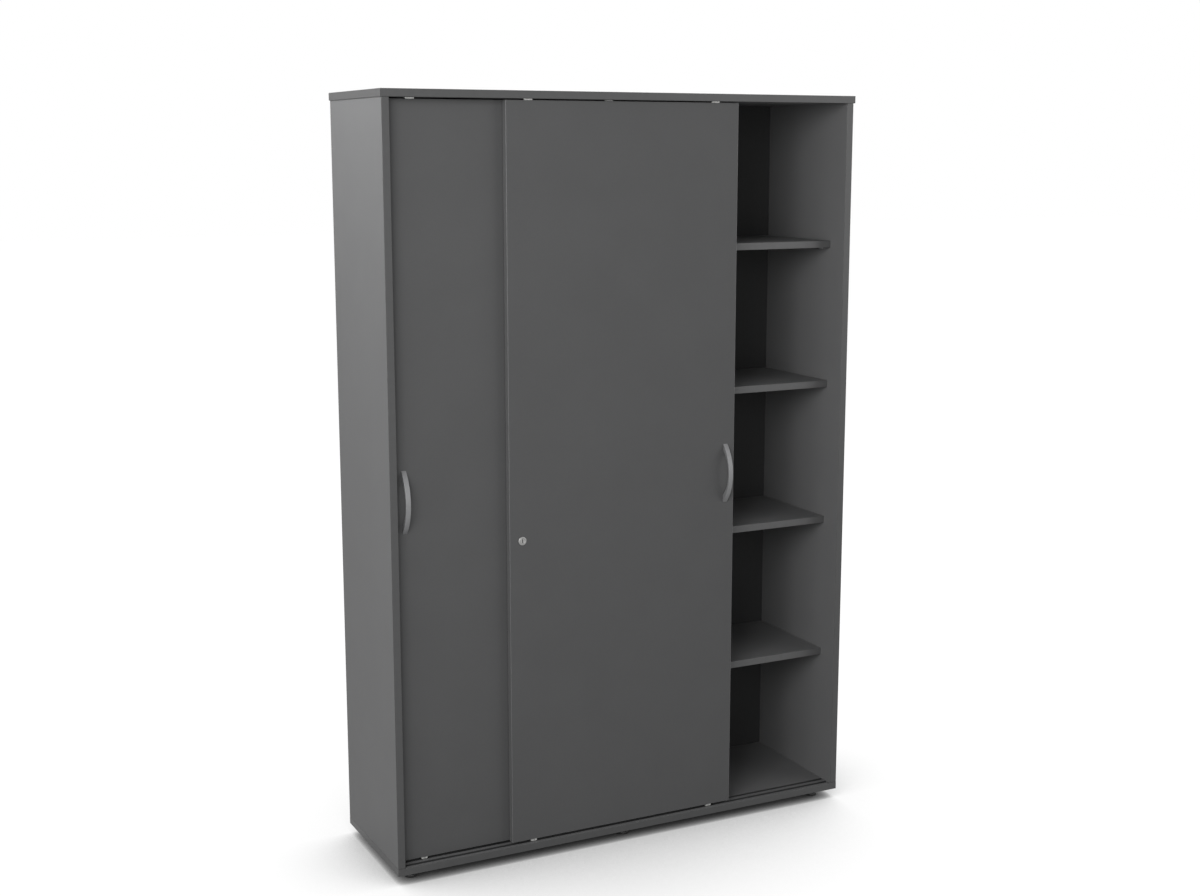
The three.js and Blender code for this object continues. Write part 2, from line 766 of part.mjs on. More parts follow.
// Hangs one door with its rollers, guides, handle and screws, in a group at the door's own place.
function addDoor(group, label, doorX, trackY, handleSide, hasLock) {
  const door = new THREE.Group();
  door.position.set(doorX, trackY, 0);
  group.add(door);
  addPiece(door, `door_panel_${label}`, doorPanel(handleSide, hasLock), boardFinish, [0, 0, 0]);
  for (const [end, side] of [['left', -1], ['right', 1]]) {
    const x = side * runnerOffset;
    const tag = `${label}_${end}`;
    const springSeat = doorHigh - guideBodyHeight() + guideFloor + fitGap;
    const axle = pinAlongY(axleRadius, -axleLength / 2, axleLength / 2, smallRoundFacets);
    addPiece(door, `roller_housing_${tag}`, rollerHousing(), nylonFinish, [x, 0, 0]);
    addPiece(door, `roller_${tag}`, rollerWheel(), nylonFinish, [x, 0, rollerAxleZ]);
    addPiece(door, `roller_axle_${tag}`, axle, steelFinish, [x, 0, rollerAxleZ]);
    addPiece(door, `guide_housing_${tag}`, guideHousing(), nylonFinish, [x, 0, 0]);
    addPiece(door, `guide_tongue_${tag}`, guideTongue(), nylonFinish, [x, 0, 0]);
    addPiece(door, `guide_spring_${tag}`, guideSpring(), steelFinish, [x, 0, springSeat]);
  }
  const handleX = handleSide * handleOffset;
  addPiece(door, `handle_${label}`, bowHandle(), handleFinish, [handleX, -doorThickness / 2, handleHeight]);
  for (const [end, sign] of [['lower', -1], ['upper', 1]]) {
    const z = handleHeight + sign * handleCentres / 2;
    addPiece(door, `handle_screw_${label}_${end}`, handleScrew(), steelFinish, [handleX, 0, z]);
  }
  if (hasLock) {
    const lockX = -handleSide * lockOffset;
    addPiece(door, 'lock_barrel', lockBarrel(), lockFinish, [lockX, 0, lockHeight]);
    addPiece(door, 'lock_core', lockCore(), lockFinish, [lockX, 0, lockHeight]);
    addPiece(door, 'lock_bolt', lockBolt(), steelFinish, [lockX, 0, lockHeight]);
  }
}

addCarcass(cabinet);
addShelves(cabinet);
addTracks(cabinet);
addFeet(cabinet);
addDoor(cabinet, 'rear', rearDoorX, rearTrackY, -1, false);
addDoor(cabinet, 'front', frontDoorX, frontTrackY, 1, true);

// The origin lies on the floor, midway between the handle's front and the rear plane.
cabinet.position.y = -(frontReach + rearPlane) / 2;

export default cabinet;
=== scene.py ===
# The looks of a tall cabinet with two sliding doors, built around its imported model.
# Metres, in the model's frame: X to the right, Y to the back, Z up, the floor at zero.

import math

import bmesh
import bpy
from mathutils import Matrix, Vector


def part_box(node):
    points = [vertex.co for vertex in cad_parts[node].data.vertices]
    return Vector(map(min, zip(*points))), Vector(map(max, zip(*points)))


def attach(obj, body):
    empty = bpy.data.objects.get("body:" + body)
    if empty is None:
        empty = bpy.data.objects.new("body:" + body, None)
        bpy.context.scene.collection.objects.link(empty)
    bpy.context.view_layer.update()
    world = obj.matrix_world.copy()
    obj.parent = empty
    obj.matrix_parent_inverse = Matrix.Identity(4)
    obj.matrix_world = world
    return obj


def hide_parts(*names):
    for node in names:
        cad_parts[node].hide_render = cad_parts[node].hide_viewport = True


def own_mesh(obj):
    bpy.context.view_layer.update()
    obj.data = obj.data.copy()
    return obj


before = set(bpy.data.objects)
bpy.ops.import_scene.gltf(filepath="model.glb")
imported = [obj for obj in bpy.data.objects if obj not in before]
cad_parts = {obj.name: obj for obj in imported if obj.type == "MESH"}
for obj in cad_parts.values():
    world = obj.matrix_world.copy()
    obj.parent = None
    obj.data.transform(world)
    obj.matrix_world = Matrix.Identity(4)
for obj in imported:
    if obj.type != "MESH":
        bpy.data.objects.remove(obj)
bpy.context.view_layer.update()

MM = 0.001
X, Y, Z = 0, 1, 2
SMOOTH_ANGLE = math.radians(32)
ON_AXIS = 1e-9

# Edge bands of the boards
BAND = 1.0 * MM
DOOR_BAND = 1.2 * MM
SEAM = 0.12 * MM
BAND_RADIUS = 0.9 * MM
DOOR_RADIUS = 1.0 * MM
ROUND_STEPS = 4

# The faces of a board: an axis and its side
LEFT, RIGHT = (X, -1), (X, 1)
FRONT, REAR = (Y, -1), (Y, 1)
UNDER, UPPER = (Z, -1), (Z, 1)

# Play round a fitted piece and round the back sheet, and how far a cut runs past a face
FIT = 0.3 * MM
REBATE_PLAY = 0.5 * MM
PAST = 2.0 * MM

# Sides of round forms
BORE_SEGMENTS = 40
WHEEL_SEGMENTS = 56
TURNED_SEGMENTS = 64
PIN_SEGMENTS = 32


# Building meshes

def add_prism(bm, outline, axes, start, end, slot=0):
    """Adds a prism: the outline lies in the first two axes and runs along the third."""
    first, second, along = axes
    rings = []
    for level in (start, end):
        ring = []
        for p, q in outline:
            point = [0.0, 0.0, 0.0]
            point[first] = p
            point[second] = q
            point[along] = level
            ring.append(bm.verts.new(point))
        rings.append(ring)
    count = len(outline)
    faces = [bm.faces.new(rings[0]), bm.faces.new(rings[1][::-1])]
    for i in range(count):
        j = (i + 1) % count
        faces.append(bm.faces.new((rings[0][j], rings[0][i], rings[1][i], rings[1][j])))
    bmesh.ops.recalc_face_normals(bm, faces=faces)
    for face in faces:
        face.material_index = slot
    return faces


def add_box(bm, low, high, slot=0):
    """Adds a box between two corners."""
    outline = [(low[X], low[Y]), (high[X], low[Y]), (high[X], high[Y]), (low[X], high[Y])]
    return add_prism(bm, outline, (X, Y, Z), low[Z], high[Z], slot)


def add_lathe(bm, profile, axis, centre, segments, slot=0):
    """Turns a profile of radius and height pairs about an axis through a centre."""
    side, up = [(Y, Z), (Z, X), (X, Y)][axis]
    rings = []
    for radius, height in profile:
        if radius < ON_AXIS:
            point = Vector(centre)
            point[axis] += height
            rings.append([bm.verts.new(point)])
            continue
        ring = []
        for i in range(segments):
            angle = 2 * math.pi * i / segments
            point = Vector(centre)
            point[axis] += height
            point[side] += radius * math.cos(angle)
            point[up] += radius * math.sin(angle)
            ring.append(bm.verts.new(point))
        rings.append(ring)
    faces = []
    for low, high in zip(rings, rings[1:]):
        for i in range(segments):
            j = (i + 1) % segments
            if len(low) == 1 and len(high) == 1:
                continue
            if len(low) == 1:
                faces.append(bm.faces.new((low[0], high[j], high[i])))
            elif len(high) == 1:
                faces.append(bm.faces.new((low[i], low[j], high[0])))
            else:
                faces.append(bm.faces.new((low[i], low[j], high[j], high[i])))
    bmesh.ops.recalc_face_normals(bm, faces=faces)
    for face in faces:
        face.material_index = slot
    return faces


def add_tube(bm, line, radius, sides):
    """Adds a closed round tube along a list of points."""
    rings = []
    for index, point in enumerate(line):
        ahead = line[min(index + 1, len(line) - 1)] - line[max(index - 1, 0)]
        ahead.normalize()
        side = ahead.cross(Vector((0, 0, 1))).normalized()
        up = side.cross(ahead)
        ring = []
        for k in range(sides):
            angle = 2 * math.pi * k / sides
            ring.append(bm.verts.new(point + (side * math.cos(angle) + up * math.sin(angle)) * radius))
        rings.append(ring)
    faces = [bm.faces.new(rings[0]), bm.faces.new(rings[-1][::-1])]
    for low, high in zip(rings, rings[1:]):
        for k in range(sides):
            j = (k + 1) % sides
            faces.append(bm.faces.new((low[j], low[k], high[k], high[j])))
    bmesh.ops.recalc_face_normals(bm, faces=faces)


def soften(bm, faces, width, steps=1):
    """Rounds every sharp edge of the given faces."""
    edges = {edge for face in faces for edge in face.edges}
    sharp = [e for e in edges if len(e.link_faces) == 2 and e.calc_face_angle() > SMOOTH_ANGLE]
    slots = {face.material_index for face in faces}
    made = bmesh.ops.bevel(
        bm, geom=sharp, offset=width, segments=steps, profile=0.5, affect="EDGES", clamp_overlap=True)
    if len(slots) == 1:
        slot = slots.pop()
        for face in made["faces"]:
            face.material_index = slot


def arc(centre, radius, start, end, steps):
    """Points of an arc, in degrees, both ends included."""
    points = []
    for i in range(steps + 1):
        angle = math.radians(start + (end - start) * i / steps)
        points.append((centre[0] + radius * math.cos(angle), centre[1] + radius * math.sin(angle)))
    return points


# Cuts: each is a function that adds its form to a mesh

def box_cut(low, high, slot=0):
    """A box-shaped cut, given by its corners."""
    return lambda bm: add_box(bm, low, high, slot)


def round_cut(axis, centre, radius, low, high, segments=BORE_SEGMENTS):
    """A round cut along an axis between two heights from its centre."""
    profile = [(0, low), (radius, low), (radius, high), (0, high)]
    return lambda bm: add_lathe(bm, profile, axis, centre, segments)


# Pieces

def make_object(name, bm, materials, smooth=True):
    """Turns a mesh into a scene object with its materials."""
    mesh = bpy.data.meshes.new(name)
    bm.to_mesh(mesh)
    bm.free()
    obj = bpy.data.objects.new(name, mesh)
    bpy.context.scene.collection.objects.link(obj)
    for material in materials:
        mesh.materials.append(material)
    if smooth:
        mesh.shade_smooth()
        mesh.set_sharp_from_angle(angle=SMOOTH_ANGLE)
    return obj


def cut_out(obj, cuts):
    """Takes a group of cuts out of an object in one step and keeps the result as its own mesh."""
    bm = bmesh.new()
    for cut in cuts:
        cut(bm)
    cutter = make_object("cutter", bm, [], smooth=False)
    modifier = obj.modifiers.new("cut", "BOOLEAN")
    modifier.operation = "DIFFERENCE"
    modifier.solver = "EXACT"
    modifier.use_self = True
    modifier.object = cutter
    graph = bpy.context.evaluated_depsgraph_get()
    result = bpy.data.meshes.new_from_object(obj.evaluated_get(graph))
    obj.modifiers.remove(modifier)
    old = obj.data
    obj.data = result
    bpy.data.meshes.remove(old)
    bpy.data.objects.remove(cutter)
    obj.data.shade_smooth()
    obj.data.set_sharp_from_angle(angle=SMOOTH_ANGLE)


def even_normals(obj):
    """Lets the large faces rule the shading beside small roundings."""
    modifier = obj.modifiers.new("even", "WEIGHTED_NORMAL")
    modifier.mode = "FACE_AREA"
    modifier.weight = 100
    modifier.keep_sharp = True


def add_piece(name, bm, materials, body, nodes, cut_groups=(), even=True, smooth=True):
    """Finishes a piece. It moves with its body, and stands for the solids that it dresses."""
    obj = make_object(name, bm, materials, smooth)
    for group in cut_groups:
        cut_out(obj, group)
    if even:
        even_normals(obj)
    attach(obj, body)
    if nodes:
        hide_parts(*nodes)
    return obj


# Materials

def new_material(name):
    """An empty procedural material with its surface shader."""
    material = bpy.data.materials.new(name)
    material.use_nodes = True
    nodes = material.node_tree.nodes
    return material, nodes, material.node_tree.links, nodes["Principled BSDF"]


def noise(nodes, links, coordinates, scale, detail, roughness=0.5, stretch=None):
    """A noise texture in object space, squeezed along an axis if asked."""
    texture = nodes.new("ShaderNodeTexNoise")
    texture.inputs["Scale"].default_value = scale
    texture.inputs["Detail"].default_value = detail
    texture.inputs["Roughness"].default_value = roughness
    source = coordinates
    if stretch:
        mapping = nodes.new("ShaderNodeMapping")
        mapping.inputs["Scale"].default_value = stretch
        links.new(coordinates, mapping.inputs["Vector"])
        source = mapping.outputs["Vector"]
    links.new(source, texture.inputs["Vector"])
    return texture.outputs["Fac"]


def shades(nodes, links, value, colour, share):
    """Spreads a noise over a colour made darker and lighter by a share."""
    node = nodes.new("ShaderNodeValToRGB")
    darker, lighter = node.color_ramp.elements
    darker.position, lighter.position = 0.3, 0.7
    darker.color = (*(channel * (1 - share) for channel in colour), 1)
    lighter.color = (*(channel * (1 + share) for channel in colour), 1)
    links.new(value, node.inputs["Fac"])
    return node.outputs["Color"]


def around(nodes, links, value, middle, reach):
    """Maps a noise to a range round a middle value."""
    node = nodes.new("ShaderNodeMapRange")
    node.inputs["To Min"].default_value = middle - reach
    node.inputs["To Max"].default_value = middle + reach
    links.new(value, node.inputs["Value"])
    return node.outputs["Result"]


def relief(nodes, links, height, depth, strength):
    """A bump of a real depth in metres."""
    node = nodes.new("ShaderNodeBump")
    node.inputs["Distance"].default_value = depth
    node.inputs["Strength"].default_value = strength
    links.new(height, node.inputs["Height"])
    return node.outputs["Normal"]


def field(scale, detail, roughness=0.5, stretch=None):
    """The values of a noise, as they go into a surface."""
    return scale, detail, roughness, stretch


def surface(name, colour, roughness, tone, gloss, grain, specular=0.5, metallic=0.0):
    """A material whose tone, gloss and grain follow noises of their own.

    Tone and gloss are a noise and its share or reach; grain is a noise, its depth and its strength.
    """
    material, nodes, links, shader = new_material(name)
    place = nodes.new("ShaderNodeTexCoord").outputs["Object"]
    wanted = dict.fromkeys((tone[0], gloss[0], grain[0]))
    fields = {values: noise(nodes, links, place, *values) for values in wanted}
    links.new(shades(nodes, links, fields[tone[0]], colour, tone[1]), shader.inputs["Base Color"])
    links.new(around(nodes, links, fields[gloss[0]], roughness, gloss[1]), shader.inputs["Roughness"])
    links.new(relief(nodes, links, fields[grain[0]], *grain[1:]), shader.inputs["Normal"])
    shader.inputs["Specular IOR Level"].default_value = specular
    shader.inputs["Metallic"].default_value = metallic
    return material


def melamine(name, colour):
    """A printed and pressed board face: a fine pearl grain with faint clouds in tone and gloss."""
    material, nodes, links, shader = new_material(name)
    place = nodes.new("ShaderNodeTexCoord").outputs["Object"]
    clouds = noise(nodes, links, place, scale=9.0, detail=3.0)
    pearls = noise(nodes, links, place, scale=1400.0, detail=1.0)
    grain = noise(nodes, links, place, scale=420.0, detail=3.0, roughness=0.6)
    mix = nodes.new("ShaderNodeMix")
    mix.data_type = "RGBA"
    mix.blend_type = "MULTIPLY"
    mix.inputs["Factor"].default_value = 1.0
    links.new(shades(nodes, links, clouds, colour, share=0.025), mix.inputs["A"])
    links.new(shades(nodes, links, grain, (1.0, 1.0, 1.0), share=0.045), mix.inputs["B"])
    links.new(mix.outputs["Result"], shader.inputs["Base Color"])
    links.new(around(nodes, links, grain, middle=0.55, reach=0.05), shader.inputs["Roughness"])
    links.new(relief(nodes, links, pearls, depth=0.03 * MM, strength=0.35), shader.inputs["Normal"])
    shader.inputs["Specular IOR Level"].default_value = 0.2
    return material


def edge_band(name, colour):
    """A plastic edge band: milled and buffed, with a faint drawn-out grain."""
    streaks = field(scale=60.0, detail=3.0, roughness=0.6, stretch=(1.0, 6.0, 1.0))
    fine = field(scale=900.0, detail=2.0)
    return surface(name, colour, roughness=0.42, tone=(streaks, 0.05), gloss=(fine, 0.06),
                   grain=(fine, 0.02 * MM, 0.4), specular=0.4)


def hardboard(name, colour):
    """A thin fibreboard sheet with short pressed fibres."""
    fibres = field(scale=260.0, detail=4.0, roughness=0.65, stretch=(1.0, 1.0, 0.35))
    clouds = field(scale=5.0, detail=3.0)
    return surface(name, colour, roughness=0.68, tone=(fibres, 0.1), gloss=(clouds, 0.06),
                   grain=(fibres, 0.05 * MM, 0.5), specular=0.3)


def moulded(name, colour, roughness, depth=0.02 * MM, specular=0.5):
    """Moulded or extruded plastic with a fine eroded texture."""
    skin = field(scale=1100.0, detail=2.0)
    clouds = field(scale=40.0, detail=2.0)
    return surface(name, colour, roughness, tone=(clouds, 0.06), gloss=(skin, 0.06),
                   grain=(skin, depth, 0.5), specular=specular)


def metal(name, colour, roughness, metallic=1.0, scale=700.0, stretch=None):
    """Plated, cast or lacquered metal with fine working marks."""
    marks = field(scale, detail=3.0, roughness=0.6, stretch=stretch)
    clouds = field(scale=70.0, detail=2.0)
    return surface(name, colour, roughness, tone=(clouds, 0.05), gloss=(marks, 0.07),
                   grain=(marks, 0.01 * MM, 0.5), metallic=metallic)


# One anthracite melamine in two copies: the carcass copy is painted lighter and the door copy darker, as
# painted light and shade for how each is lit.
lit_board_face = melamine("lit_board_face", (0.0980, 0.0985, 0.0995))
shaded_door_face = melamine("shaded_door_face", (0.0528, 0.0532, 0.0538))
# The edge bands are one plastic in three copies: the door and shelf copies are painted lighter than the
# carcass copy, as painted light on the set-back shelf edges and the door edges.
board_band = edge_band("board_band", (0.0375, 0.0378, 0.0382))
lit_door_band = edge_band("lit_door_band", (0.0800, 0.0804, 0.0812))
lit_shelf_band = edge_band("lit_shelf_band", (0.0508, 0.0511, 0.0516))
# The back sheet is a darker board than the carcass, and its tone is set darker still as painted shade for
# the deep shade at the back of the bays.
back_face_dark_and_shaded = hardboard("back_face_dark_and_shaded", (0.0132, 0.0134, 0.0136))
# Black track plastic, also used for the strip of painted shade in the side joints.
track_black_and_joint_shade = moulded("track_black_and_joint_shade", (0.02, 0.02, 0.0205), roughness=0.42, specular=0.4)
nylon_white = moulded("nylon_white", (0.84, 0.84, 0.82), roughness=0.42)
nylon_grey = moulded("nylon_grey", (0.32, 0.32, 0.312), roughness=0.45)
foot_black = moulded("foot_black", (0.013, 0.013, 0.0133), roughness=0.5, depth=0.05 * MM)
zinc_steel = metal("zinc_steel", (0.52, 0.525, 0.53), roughness=0.34)
spring_steel = metal("spring_steel", (0.36, 0.36, 0.365), roughness=0.3)
handle_silver = metal(
    "handle_silver", (0.15, 0.151, 0.154), roughness=0.5, metallic=0.3, scale=900.0, stretch=(1.0, 1.0, 0.2))
lock_nickel = metal("lock_nickel", (0.285, 0.284, 0.28), roughness=0.38)
lock_inside = metal("lock_inside", (0.12, 0.115, 0.105), roughness=0.45)


# Boards

def strip_outline(face, inner, low, high, radius):
    """The section of an edge band: rounded corners outside, a fine chamfer towards the board."""
    outward = 1 if face > inner else -1
    middle = face - outward * radius
    shoulder = inner + outward * SEAM
    points = [(inner, low + SEAM), (shoulder, low)]
    for level, start in ((low + radius, -90), (high - radius, 0)):
        corner = arc((0, 0), radius, start, start + 90, ROUND_STEPS)
        points += [(middle + outward * p, level + q) for p, q in corner]
    points += [(shoulder, high), (inner, high - SEAM)]
    return points


def add_board(name, low, high, thin, bands, body, node, cuts=(),
              face=lit_board_face, band=board_band, thickness=BAND, radius=BAND_RADIUS):
    """A board with edge bands. Thin is the axis of its thickness."""
    bm = bmesh.new()
    core_low, core_high = Vector(low), Vector(high)
    for axis, side in bands:
        if side < 0:
            core_low[axis] += thickness
        else:
            core_high[axis] -= thickness
    soften(bm, add_box(bm, core_low, core_high), SEAM)
    # A band listed first runs between the ones listed later.
    for index, (axis, side) in enumerate(bands):
        along = X + Y + Z - axis - thin
        later = bands[index + 1:]
        start = core_low[along] if (along, -1) in later else low[along]
        end = core_high[along] if (along, 1) in later else high[along]
        outer = high[axis] if side > 0 else low[axis]
        outline = strip_outline(outer, outer - side * thickness, low[thin], high[thin], radius)
        add_prism(bm, outline, (axis, thin, along), start, end, slot=1)
    add_piece(name, bm, [face, band], body, [node], [cuts] if cuts else ())


top_low, top_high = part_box("top_panel")
bottom_low, bottom_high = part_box("bottom_panel")
back_low, back_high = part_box("back_panel")
partition_low, partition_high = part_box("centre_partition")

board = bottom_high.z - bottom_low.z
inner_left = bottom_low.x + board
inner_right = bottom_high.x - board
rear_plane = bottom_high.y


def track_cuts(place, open_up):
    """The grooves of the two tracks in the bottom or the top board."""
    cuts = []
    for row in ("front", "rear"):
        low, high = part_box(f"{place}_track_{row}")
        cuts.append(box_cut(
            (inner_left, low.y - FIT, low.z - (0 if open_up else PAST)),
            (inner_right, high.y + FIT, high.z + (PAST if open_up else 0))))
    return cuts


FOOT_BORE = 4.3 * MM


def foot_cuts():
    """The blind holes of the levelling feet in the bottom board."""
    cuts = []
    for row in ("front", "rear"):
        for column in ("left", "middle", "right"):
            low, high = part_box(f"foot_{row}_{column}")
            centre = ((low.x + high.x) / 2, (low.y + high.y) / 2, bottom_low.z)
            cuts.append(round_cut(Z, centre, FOOT_BORE, -PAST, high.z - bottom_low.z + FIT))
    return cuts


JOINT_HEIGHT = 1.5 * MM
JOINT_INSET = 0.2 * MM
JOINT_DEPTH = 1.6 * MM


def joint_cuts(low, high, outward):
    """A fine groove round the foot of a side board, where it stands on the bottom board."""
    outer = low.x if outward < 0 else high.x
    x_low, x_high = sorted((outer + outward * PAST, outer - outward * JOINT_DEPTH))
    z_low, z_high = low.z - PAST, low.z + JOINT_HEIGHT
    return [
        box_cut((x_low, low.y - PAST, z_low), (x_high, high.y + PAST, z_high)),
        box_cut((low.x - PAST, low.y - PAST, z_low), (high.x + PAST, low.y + JOINT_DEPTH, z_high)),
    ]


def build_joint_shade_strip(name, low, high, outward):
    """A black strip in the groove, painted shade for the joint line: it runs along the outside and across
    the front.
    """
    outer, inner = (low.x, high.x) if outward < 0 else (high.x, low.x)
    near, far = outer - outward * JOINT_INSET, inner + outward * JOINT_INSET
    deep_x, deep_y = outer - outward * JOINT_DEPTH, low.y + JOINT_DEPTH
    front, rear = low.y + JOINT_INSET, high.y - JOINT_INSET
    outline = [(near, rear), (near, front), (far, front), (far, deep_y), (deep_x, deep_y), (deep_x, rear)]
    bm = bmesh.new()
    add_prism(bm, outline, (X, Y, Z), low.z, low.z + JOINT_HEIGHT - FIT)
    add_piece(f"side_joint_shade_{name}", bm, [track_black_and_joint_shade], "carcass", (), even=False, smooth=False)


def build_carcass():
    """The fixed boards with their edge bands, grooves and rebates."""
    rebate_left, rebate_right = back_low.x - REBATE_PLAY, back_high.x + REBATE_PLAY
    behind = rear_plane + PAST
    rebate = box_cut((rebate_left, back_low.y, back_low.z - REBATE_PLAY),
                     (rebate_right, behind, bottom_high.z + PAST))
    add_board("bottom_board", bottom_low, bottom_high, Z, [FRONT, LEFT, RIGHT], "carcass", "bottom_panel",
              track_cuts("bottom", True) + foot_cuts() + [rebate])
    rebate = box_cut((rebate_left, back_low.y, top_low.z - PAST),
                     (rebate_right, behind, back_high.z + REBATE_PLAY))
    add_board("top_board", top_low, top_high, Z, [FRONT, REAR, LEFT, RIGHT], "carcass", "top_panel",
              track_cuts("top", False) + [rebate])
    for name, outward in (("left", -1), ("right", 1)):
        outer = bottom_low.x if outward < 0 else bottom_high.x
        inner = outer - outward * board
        low = Vector((min(outer, inner), bottom_low.y, bottom_high.z))
        high = Vector((max(outer, inner), rear_plane, top_low.z))
        edge = rebate_left if outward < 0 else rebate_right
        x_low, x_high = sorted((edge, inner - outward * PAST))
        rebate = box_cut((x_low, back_low.y, low.z - PAST), (x_high, behind, high.z + PAST))
        add_board(f"side_board_{name}", low, high, X, [FRONT], "carcass", f"side_panel_{name}",
                  [rebate] + joint_cuts(low, high, outward))
        # A black strip in the groove paints the joint's shade.
        build_joint_shade_strip(name, low, high, outward)
    low = Vector((-board / 2, partition_low.y, partition_low.z))
    high = Vector((board / 2, partition_high.y, partition_high.z))
    add_board("partition_board", low, high, X, [FRONT], "carcass", "centre_partition")


def build_shelves():
    """Eight shelves with a banded front and rear edge."""
    for bay in ("left", "right"):
        for row in range(1, 5):
            node = f"shelf_{bay}_{row}"
            low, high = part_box(node)
            # The shelf edges take the lighter band copy, painted light against the shade they stand back in.
            add_board(f"{node}_board", low, high, Z, [FRONT, REAR], "carcass", node, band=lit_shelf_band)


SUPPORT_WIDTH = 8 * MM
SUPPORT_HEIGHT = 6 * MM
SUPPORT_REACH = 9 * MM
SUPPORT_INSET = 37 * MM
SUPPORT_ROUNDING = 0.35 * MM


def build_supports():
    """Two pressed-in supports at each end of each shelf: a flat seat over a round belly."""
    walls = [("left_outer", inner_left, 1), ("left_inner", -board / 2, -1),
             ("right_inner", board / 2, 1), ("right_outer", inner_right, -1)]
    belly = SUPPORT_WIDTH / 2
    outline = [(belly, 0), (-belly, 0)] + arc((0, belly - SUPPORT_HEIGHT), belly, 180, 360, steps=12)
    for row in range(1, 5):
        low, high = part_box(f"shelf_left_{row}")
        for label, wall, direction in walls:
            start, end = sorted((wall, wall + direction * SUPPORT_REACH))
            for place, y in (("front", low.y + SUPPORT_INSET), ("rear", high.y - SUPPORT_INSET)):
                bm = bmesh.new()
                made = add_prism(bm, [(p + y, q + low.z) for p, q in outline], (Y, Z, X), start, end)
                soften(bm, made, SUPPORT_ROUNDING, steps=2)
                add_piece(f"shelf_support_{label}_{row}_{place}", bm, [zinc_steel], "carcass", ())


# Doors

MORTISE_END = 0.01 * MM
SCREW_BORE = 2.3 * MM
SCREW_HEAD_BORE = 4.3 * MM
SCREW_HEAD_SINK = 3 * MM
LOCK_BORE = 9.3 * MM


def door_cuts(low, high, label, has_lock):
    """Mortises for the runners and guides, bores for the screws and the lock."""
    cuts = []
    for end in ("left", "right"):
        body_low, body_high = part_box(f"roller_housing_{label}_{end}")
        cuts.append(box_cut((body_low.x - FIT, body_low.y - FIT, low.z - PAST),
                            (body_high.x + FIT, body_high.y + FIT, body_high.z + MORTISE_END)))
        body_low, body_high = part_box(f"guide_housing_{label}_{end}")
        cuts.append(box_cut((body_low.x - FIT, body_low.y - FIT, body_low.z - MORTISE_END),
                            (body_high.x + FIT, body_high.y + FIT, high.z + PAST)))
    middle = (low.y + high.y) / 2
    front, rear = low.y - middle, high.y - middle
    for place in ("lower", "upper"):
        screw_low, screw_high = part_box(f"handle_screw_{label}_{place}")
        centre = ((screw_low.x + screw_high.x) / 2, middle, (screw_low.z + screw_high.z) / 2)
        cuts.append(round_cut(Y, centre, SCREW_BORE, front - PAST, rear + PAST))
        cuts.append(round_cut(Y, centre, SCREW_HEAD_BORE, rear - SCREW_HEAD_SINK, rear + PAST))
    if has_lock:
        lock_low, lock_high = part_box("lock_core")
        centre = ((lock_low.x + lock_high.x) / 2, middle, (lock_low.z + lock_high.z) / 2)
        cuts.append(round_cut(Y, centre, LOCK_BORE, front - PAST, rear + PAST))
    return cuts


def build_door(label, has_lock):
    """One door panel, banded on all four edges."""
    node = f"door_panel_{label}"
    low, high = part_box(node)
    # The door takes the darker melamine copy, painted shade, and the lighter band copy, painted light.
    add_board(f"door_board_{label}", low, high, Y, [UNDER, UPPER, LEFT, RIGHT], f"{label}_door", node,
              door_cuts(low, high, label, has_lock), face=shaded_door_face, band=lit_door_band,
              thickness=DOOR_BAND, radius=DOOR_RADIUS)


# Runners and guides

HOUSING_ROUNDING = 0.3 * MM

# The nose that a runner's housing shows below the door
NOSE_HALF = 7.5 * MM
NOSE_CORNER = 2 * MM
NOSE_STEPS = 6

# The wheel: its bore, hub, web and rim, and the rounded shoulders of its tread
WHEEL_PLAY = 0.5 * MM
WHEEL_BORE = 1.7 * MM
WHEEL_HUB = 3.4 * MM
WHEEL_RIM = 1.6 * MM
WHEEL_FILLET = 0.2 * MM
RIM_SETBACK = 0.3 * MM
WEB_SETBACK = 1.1 * MM
TREAD_HEIGHT = 0.5 * MM
TREAD = ((0, 0), (0.28 * MM, 0.2 * MM), (0.45 * MM, 0.55 * MM), (TREAD_HEIGHT, 1.1 * MM))

AXLE_BORE = 1.6 * MM
AXLE_BORE_REACH = 20 * MM
AXLE_BORE_SEGMENTS = 24
AXLE_CHAMFER = 0.25 * MM


def wheel_profile(radius, half):
    """Half of a wheel's section and its mirror image, as one closed line."""
    rim = half - RIM_SETBACK
    web = half - WEB_SETBACK
    inside = radius - WHEEL_RIM
    one_side = [
        (WHEEL_BORE, -half), (WHEEL_HUB - WHEEL_FILLET, -half), (WHEEL_HUB, -half + WHEEL_FILLET),
        (WHEEL_HUB, -web - WHEEL_FILLET), (WHEEL_HUB + WHEEL_FILLET, -web),
        (inside - WHEEL_FILLET, -web), (inside, -web - WHEEL_FILLET), (inside, -rim),
    ]
    one_side += [(radius - TREAD_HEIGHT + rise, -rim + step) for rise, step in TREAD]
    return one_side + [(p, -q) for p, q in reversed(one_side)] + one_side[:1]


